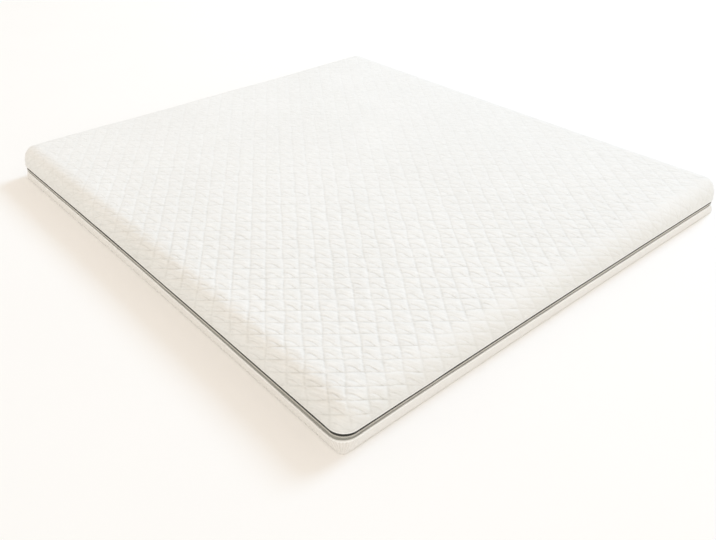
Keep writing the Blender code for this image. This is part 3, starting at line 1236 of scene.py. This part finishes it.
@dataclass
class SideBand:
    """The plain band: tight corners at the floor and wide ones under the zip, gathers and faint ripples."""

    step: float = 0.006
    corner_step: float = 0.0016
    bottom_radius: float = 0.0187
    lip_inset: float = 0.0050
    lip_drop: float = 0.0008
    ripples: Waviness = Waviness(0.00030, seed=21, fewest=90, most=260)
    gathers: Table = (
        (-0.26, 0.050, 0.0008), (-0.09, 0.050, 0.0014), (0.09, 0.050, 0.0022), (0.24, 0.045, 0.0028),
        (0.38, 0.045, 0.0034), (0.51, 0.045, 0.0030), (0.65, 0.045, 0.0034), (0.79, 0.045, 0.0024),
        (0.95, 0.050, 0.0020), (1.12, 0.050, 0.0012), (1.30, 0.050, 0.0008),
    )  # place along the corner's arc, half width in the same shares, depth in metres
    corner_pull: tuple[float, ...] = (0.8, 0.95, 1.0, 0.85)
    deepest: float = 0.0034  # gather, which takes the full shade
    section: Table = (
        (0.0060, 0.000, 0.00, 0.0), (0.0026, 0.004, 0.00, 0.0), (0.0012, 0.020, 0.00, 0.0),
        (0.0006, 0.060, 0.20, 0.0), (0.0001, 0.130, 0.50, 0.0), (-0.0002, 0.230, 0.75, 0.0),
        (-0.0003, 0.350, 0.90, 0.0), (-0.0003, 0.480, 1.00, 0.0), (-0.0002, 0.600, 1.00, 0.0),
        (0.0000, 0.710, 1.00, 0.0), (0.0001, 0.800, 0.90, 0.0), (0.0001, 0.860, 0.70, 0.3),
        (-0.0002, 0.910, 0.50, 1.0), (-0.0002, 0.960, 0.35, 1.0), (0.0004, 0.992, 0.25, 1.0),
        (0.0014, 1.008, 0.15, 1.0), (0.0028, 1.008, 0.10, 0.6), (0.0042, 0.992, 0.00, 0.0),
    )  # inset, share of the band's height, share of the gathers, painted highlight on the rolled lip

    def gathered(self, place: Array) -> Array:
        """Depth of the gathers: a sum of bell curves across each corner.

        Args:
            place: Distances along the outline.

        Returns:
            One depth for each place.
        """
        share, corner = PLAN.corner_share(place)
        table = np.array(self.gathers)
        bells = bell((share[:, None] - table[:, 0]) / table[:, 1])
        return bells @ table[:, 2] * np.array(self.corner_pull)[corner]

    def build(self) -> Object:
        """Builds the piece: rings up the outside, over the lip and down inside it, and a flat floor inside.

        Returns:
            The object.
        """
        place = PLAN.closer_places(self.step, self.corner_step)
        bottom = LEVELS.panel_top + GAP
        gathers = self.gathered(place)
        uneven = gathers + self.ripples.at(place)
        stack = Stack(place)
        for inset, share, pull, painted_light in self.section:
            radius = self.bottom_radius + min(share, 1.0) * (PLAN.corner - self.bottom_radius)
            flat, outward = PLAN.at(place, inset, radius)
            flat = flat - outward * (pull * uneven)[:, None]
            rise = share * (LEVELS.band_top - bottom)
            height = bottom + rise + share * LEVELS.band_shift(flat, place)
            # the last number whitens the lip as a painted highlight, and goes below 0 in the gathers'
            # hollows for painted shade
            stack.add(flat, height, rise, painted_light - pull * (1.0 - painted_light) * gathers / self.deepest)
        lip, _ = PLAN.at(place, self.lip_inset)
        stack.add(lip, LEVELS.band_at(lip, place) - self.lip_drop, LEVELS.band_top)
        stack.add(lip, LEVELS.neck_bottom, LEVELS.band_top)
        return stack.build("plain_band", looped=False)


@dataclass
class ZipTape:
    """One tape of the zip: a thin woven hoop, sewn behind the cloth at one edge and to the teeth."""

    name: str
    upper: bool
    step: float = 0.005
    inner: float = 0.0050
    outer: float = 0.0038
    tuck: float = 0.0004  # of the lower tape, under the band's edge
    section: Table = (
        (0.5, 0.0), (1.0, 0.04), (1.0, 0.35), (1.0, 0.65), (1.0, 0.96), (0.5, 1.0), (-1.0, 1.0), (-1.0, 0.0),
    )  # depth from the middle in half thicknesses, share of the height

    def edges(self, flat: Array, place: Array) -> tuple[Array, Array]:
        """Heights of the tape's lower and upper edge.

        Args:
            flat: Rows of (x, y) of the tape.
            place: Distances along the outline.

        Returns:
            Two arrays of heights.
        """
        middle = np.full(len(flat), LEVELS.chain_middle)
        if self.upper:
            return middle + GAP / 2, LEVELS.hem_at(flat, place) - GAP
        return LEVELS.band_at(flat, place) - self.tuck, middle - GAP / 2

    def build(self) -> Object:
        """Builds the hoop: up its outside and down its inside, with its long edges rounded.

        Returns:
            The object.
        """
        place = PLAN.places(self.step)
        low, high = self.edges(PLAN.at(place, self.outer)[0], place)
        wide = float((high - low).mean())
        stack = Stack(place)
        for depth, share in self.section:
            inset = (self.inner + self.outer) / 2 - depth * (self.inner - self.outer) / 2
            stack.add(PLAN.at(place, inset)[0], low + share * (high - low), share * wide)
        return stack.build(self.name, looped=True)


@dataclass
class ZipChain:
    """The closed teeth: two rows of small bars that reach past the middle line, half a pitch out of step."""

    pitch: float = 0.0020
    past_middle: float = 0.0005
    inset: float = 0.0026
    tooth: Bar = Bar(
        0.0028, True, ((-0.5, 0.00055, 0.0008), (-0.05, 0.0008, 0.0012), (0.5, 0.00062, 0.0009))
    )

    def build(self) -> Object:
        """Builds both rows as one mesh.

        Returns:
            The object.
        """
        place, reach = PLAN.places(self.pitch), self.tooth.length / 2 - self.past_middle
        rows = [
            (*PLAN.at(place + shift * self.pitch, self.inset), LEVELS.chain_middle - up * reach, up)
            for up, shift in ((-1.0, 0.0), (1.0, 0.5))
        ]
        return self.tooth.spread("zip_teeth", rows)


@dataclass
class Stitching:
    """A row of lockstitches that runs round the topper, each one a small thread that dips in at its ends."""

    name: str
    off: float  # height over the edge that the row follows
    inset: float
    follow_hem: bool  # or else the band's upper edge
    pitch: float = 0.0034
    length_share: float = 0.78
    thread: tuple[float, float] = (0.0001, 0.00028)  # half width at the ends and in the middle

    def build(self) -> Object:
        """Builds the row as one mesh.

        Returns:
            The object.
        """
        end, middle = self.thread
        widths = ((-0.5, end, end), (0.0, middle, middle), (0.5, end, end))
        place = PLAN.places(self.pitch)
        flat, outward = PLAN.at(place, self.inset)
        edge = LEVELS.hem_at(flat, place) if self.follow_hem else LEVELS.band_at(flat, place)
        bar = Bar(self.pitch * self.length_share, False, widths)
        return bar.spread(self.name, [(flat, outward, edge + self.off, 1.0)])


@dataclass
class BaseCloth:
    """The flat panel that the topper lies on, with its edge turned in under the side band."""

    step: float = 0.008
    inset: float = 0.0024
    least_radius: float = 0.004
    section: Table = (
        (0.02, 0.0), (0.0008, 0.0), (0.0002, 0.15), (0.0, 0.5), (0.0002, 0.85), (0.0008, 1.0), (0.02, 1.0),
    )  # inset from the edge, share of the thickness

    def build(self) -> Object:
        """Builds the panel: a rounded edge between a flat underside and a flat top.

        Returns:
            The object.
        """
        place = PLAN.places(self.step)
        stack = Stack(place)
        for extra, share in self.section:
            inset, rise = self.inset + extra, share * LEVELS.panel_top
            radius = max(SideBand.bottom_radius - inset, self.least_radius)
            stack.add(PLAN.at(place, inset, radius)[0], rise, rise)
        return stack.build("base_cloth", looped=False)


# Studio --------------------


@dataclass
class Viewpoint:
    """The camera: which way it looks and how long its lens is."""

    azimuth: float = math.radians(-40.92)
    pitch: float = math.radians(33.58)
    roll: float = math.radians(-0.46)
    lens: float = 36.978
    sensor: float = 36.0

    def build(self) -> None:
        """Makes the camera, turned by its azimuth, its pitch below the level and its roll, for the scene."""
        data = bpy.data.cameras.new("viewpoint")
        data.lens, data.sensor_width = self.lens, self.sensor
        camera = linked("viewpoint", data)
        turns = ((self.azimuth, "Z"), (QUARTER - self.pitch, "X"), (self.roll, "Z"))
        azimuth, pitch, roll = (Matrix.Rotation(angle, 4, axis) for angle, axis in turns)
        camera.matrix_world = Matrix.Translation(EYE) @ azimuth @ pitch @ roll
        bpy.context.scene.camera = camera


@dataclass(frozen=True)
class Lamp:
    """A lamp: the way to it, how wide it looks, and what a white surface that faces it gives back."""

    name: str
    azimuth: float  # from +X towards +Y, in degrees
    elevation: float
    width: float
    light: Colour
    distance: float | None = None  # from the middle of the left upper edge, or None for endlessly far off

    def build(self) -> None:
        """Makes the lamp: a sun, or a disc at its distance that gives the left upper edge as much light."""
        data = bpy.data.lights.new(self.name, "AREA" if self.distance else "SUN")
        strongest = max(self.light)
        data.color = [part / strongest for part in self.light]
        lamp = linked(self.name, data)
        turn, rise = math.radians(self.azimuth), math.radians(self.elevation)
        towards = Vector((math.cos(rise) * math.cos(turn), math.cos(rise) * math.sin(turn), math.sin(rise)))
        lamp.rotation_euler = towards.to_track_quat("Z", "Y").to_euler()
        if self.distance:
            data.shape, data.size = "DISK", 2.0 * self.distance * math.tan(math.radians(self.width / 2))
            data.energy = math.pi**2 * strongest * self.distance**2
            lamp.location = Vector((-PLAN.width / 2, 0.0, LEVELS.top)) + towards * self.distance
        else:
            data.energy = math.pi * strongest
            data.angle = math.radians(self.width)


@dataclass
class Studio:
    """A pale floor, an even warm surround, a soft key lamp on the +X side and two very wide weak ones."""

    floor_size: float = 40.0
    floor_lines: int = 9
    floor_height: float = -0.0001
    floor_colour: Colour = (0.93, 0.92, 0.90)
    floor_shade: Colour = (0.91, 0.90, 0.88)
    surround: Colour = (0.7715, 0.7479, 0.6823)
    lamps: tuple[Lamp, ...] = (
        Lamp("key_lamp", 0.0, 38.0, 20.0, (0.2095, 0.300, 0.408), 14.0),
        Lamp("front_lamp", 228.0, 40.0, 100.0, (0.1668, 0.1583, 0.1579)),
        Lamp("top_lamp", 0.0, 89.0, 60.0, (0.0767, 0.0405, 0.0291)),
    )

    def floor(self) -> Object:
        """The floor, a flat sheet of quads.

        Returns:
            The floor, dressed.
        """
        edge = np.linspace(-self.floor_size / 2, self.floor_size / 2, self.floor_lines)
        x, y = np.meshgrid(edge, edge)
        points = np.column_stack([x.ravel(), y.ravel(), np.full(x.size, self.floor_height)])
        floor = mesh_object("floor", points, grid_quads(*x.shape))
        graph = Graph("pale_floor")
        colour = graph.blend(graph.noise(2.0).ramp(0.3, 0.7, 0.0, 0.2), self.floor_colour, self.floor_shade)
        light = {"Roughness": 0.9, "Specular IOR Level": 0.1}
        floor.data.materials.append(graph.finished(colour, None, light))
        return floor

    def build(self) -> None:
        """Makes the floor, the surround and the lamps."""
        floor = self.floor()
        world = bpy.data.worlds.new("surround")
        world.use_nodes = True
        background = world.node_tree.nodes["Background"]
        background.inputs["Color"].default_value = (*self.surround, 1.0)
        background.inputs["Strength"].default_value = 1.0
        bpy.context.scene.world = world
        for lamp in self.lamps:
            lamp.build()
        bpy.context.scene.view_settings.view_transform = "Standard"


# The topper --------------------


@dataclass
class Topper:
    """The whole topper: each piece with its finish and the part of the frame it stands for."""

    seam: float = 0.005  # that the base loses of its width and of its length
    tape_width: float = 0.010  # of the strip in the recess
    knit: QuiltedFinish = QuiltedFinish(
        "quilted_knit", (0.881, 0.877, 0.856), (0.70, 0.69, 0.655), (0.97, 0.965, 0.945)
    )
    cloth: WovenFinish = WovenFinish(
        "plain_cloth", (0.902, 0.884, 0.856), (0.81, 0.785, 0.75), Weave.PLAIN, 0.0009, 0.00008,
        painted_light=(0.97, 0.96, 0.94),
    )
    # the upper tape's near-black colour is painted shade of the recess under the hem's overhang; the real
    # tape is the grey one below
    shade_dark_tape: WovenFinish = WovenFinish(
        "shade_dark_zip_tape", (0.047, 0.045, 0.040), (0.032, 0.031, 0.028), Weave.HERRINGBONE, 0.0008, 0.0001
    )
    grey_tape: WovenFinish = WovenFinish(
        "grey_zip_tape", (0.352, 0.345, 0.310), (0.24, 0.235, 0.210), Weave.HERRINGBONE, 0.0008, 0.0001
    )
    nylon: NylonFinish = NylonFinish("grey_nylon", (0.82, 0.795, 0.735), (0.74, 0.717, 0.66))
    thread: NylonFinish = NylonFinish("white_thread", (0.90, 0.89, 0.86), (0.84, 0.83, 0.80), roughness=0.6)

    @staticmethod
    def dress(piece: Object, material: Material, slot: str, *nodes: str) -> Object:
        """Gives a piece its material and its body, and hides the parts of the frame that it stands for.

        Args:
            piece: The piece.
            material: Its finish.
            slot: Not used.
            *nodes: Nodes of the frame that the piece replaces.

        Returns:
            The piece.
        """
        piece.data.materials.append(material)
        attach(piece, BODY)
        if nodes:
            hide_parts(*nodes)
        log.info("%s: %d faces, %d points", piece.name, len(piece.data.polygons), len(piece.data.vertices))
        return piece

    def build(self) -> None:
        """Builds and dresses every piece, from the floor up."""
        cloth, thread = self.cloth.make(), self.thread.make()
        base = self.dress(BaseCloth().build(), cloth, "white_cloth", "base_panel")
        band = self.dress(SideBand().build(), cloth, "white_cloth", "side_band")
        lower = ZipTape("lower_zip_tape", upper=False).build()
        self.dress(lower, self.grey_tape.make(), "grey_tape", "zip_tape_lower")
        self.dress(ZipChain().build(), self.nylon.make(), "grey_nylon", "zip_coil")
        upper = ZipTape("upper_zip_tape", upper=True, outer=0.0034).build()
        # the upper tape carries the painted shade of the recess under the hem
        self.dress(upper, self.shade_dark_tape.make(), "dark_grey_tape", "zip_tape_upper")
        top = QuiltedTop()
        quilted = self.dress(top.build(), self.knit.make(top.quilt), "white_knit", "top_cover")
        hem = Stitching("hem_stitches", 0.0058, -0.00085, follow_hem=True)
        self.dress(hem.build(), thread, "white_cloth")
        edge = Stitching("band_stitches", -0.0042, -0.0001, follow_hem=False)
        self.dress(edge.build(), thread, "white_cloth")


def main() -> None:
    """Builds the studio, the camera and the topper, and logs the size of each piece."""
    logging.basicConfig(level=logging.INFO, format="%(name)s: %(message)s")
    Viewpoint().build()
    Studio().build()
    Topper().build()


if __name__ == "__main__":
    main()
